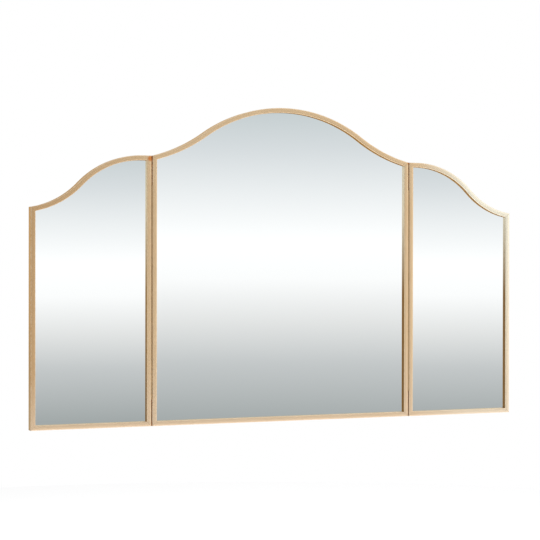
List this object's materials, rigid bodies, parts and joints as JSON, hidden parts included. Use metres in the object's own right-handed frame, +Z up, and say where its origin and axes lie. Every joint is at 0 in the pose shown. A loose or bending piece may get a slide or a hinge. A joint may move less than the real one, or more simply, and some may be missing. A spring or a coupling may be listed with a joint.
{
  "type": "triptych wall mirror",
  "caption": "Folding wall mirror: an arched centre panel and two arched side wings in slim brass-coloured metal frames, hinged to swing forward.",
  "frame": {"origin": "on the wall, midway between the entry holes of the two keyhole hanger plates", "axes": "+X to the viewer's right, +Y towards the wall, so the mirrors face -Y, +Z up"},
  "size_m": [1.168, 0.022, 0.711],
  "materials": {
    "frame": "brushed champagne",
    "hinge": "satin",
    "steel": "zinc plated",
    "mirror": "polished",
    "board": "fibreboard",
    "rubber": "matte"
  },
  "bodies": {
    "centre": {"centre_top_rail": "frame", "centre_bottom_rail": "frame", "centre_left_stile": "frame", "centre_right_stile": "frame", "centre_mirror_glass": "mirror", "centre_backing_board": "board", "centre_board_clips": "steel", "centre_clip_screws": "steel", "centre_bumpers": "rubber", "left_hinge_centre_leaf": "hinge", "left_hinge_pin": "hinge", "left_hinge_centre_leaf_screws": "hinge", "right_hinge_centre_leaf": "hinge", "right_hinge_pin": "hinge", "right_hinge_centre_leaf_screws": "hinge", "left_hanger_plate": "steel", "right_hanger_plate": "steel", "hanger_plate_screws": "steel"},
    "left_wing": {"left_wing_top_rail": "frame", "left_wing_bottom_rail": "frame", "left_wing_outer_stile": "frame", "left_wing_hinge_stile": "frame", "left_wing_mirror_glass": "mirror", "left_wing_backing_board": "board", "left_wing_board_clips": "steel", "left_wing_clip_screws": "steel", "left_wing_bumpers": "rubber", "left_hinge_wing_leaf": "hinge", "left_hinge_wing_leaf_screws": "hinge"},
    "right_wing": {"right_wing_top_rail": "frame", "right_wing_bottom_rail": "frame", "right_wing_outer_stile": "frame", "right_wing_hinge_stile": "frame", "right_wing_mirror_glass": "mirror", "right_wing_backing_board": "board", "right_wing_board_clips": "steel", "right_wing_clip_screws": "steel", "right_wing_bumpers": "rubber", "right_hinge_wing_leaf": "hinge", "right_hinge_wing_leaf_screws": "hinge"}
  },
  "joints": [
    {"name": "left_wing_fold", "type": "hinge", "parent": "centre", "child": "left_wing", "pos_m": [-0.314, -0.0205, 0], "axis": [0, 0, 1], "range_deg": [0, 100]},
    {"name": "right_wing_fold", "type": "hinge", "parent": "centre", "child": "right_wing", "pos_m": [0.314, -0.0205, 0], "axis": [0, 0, -1], "range_deg": [0, 100]}
  ]
}
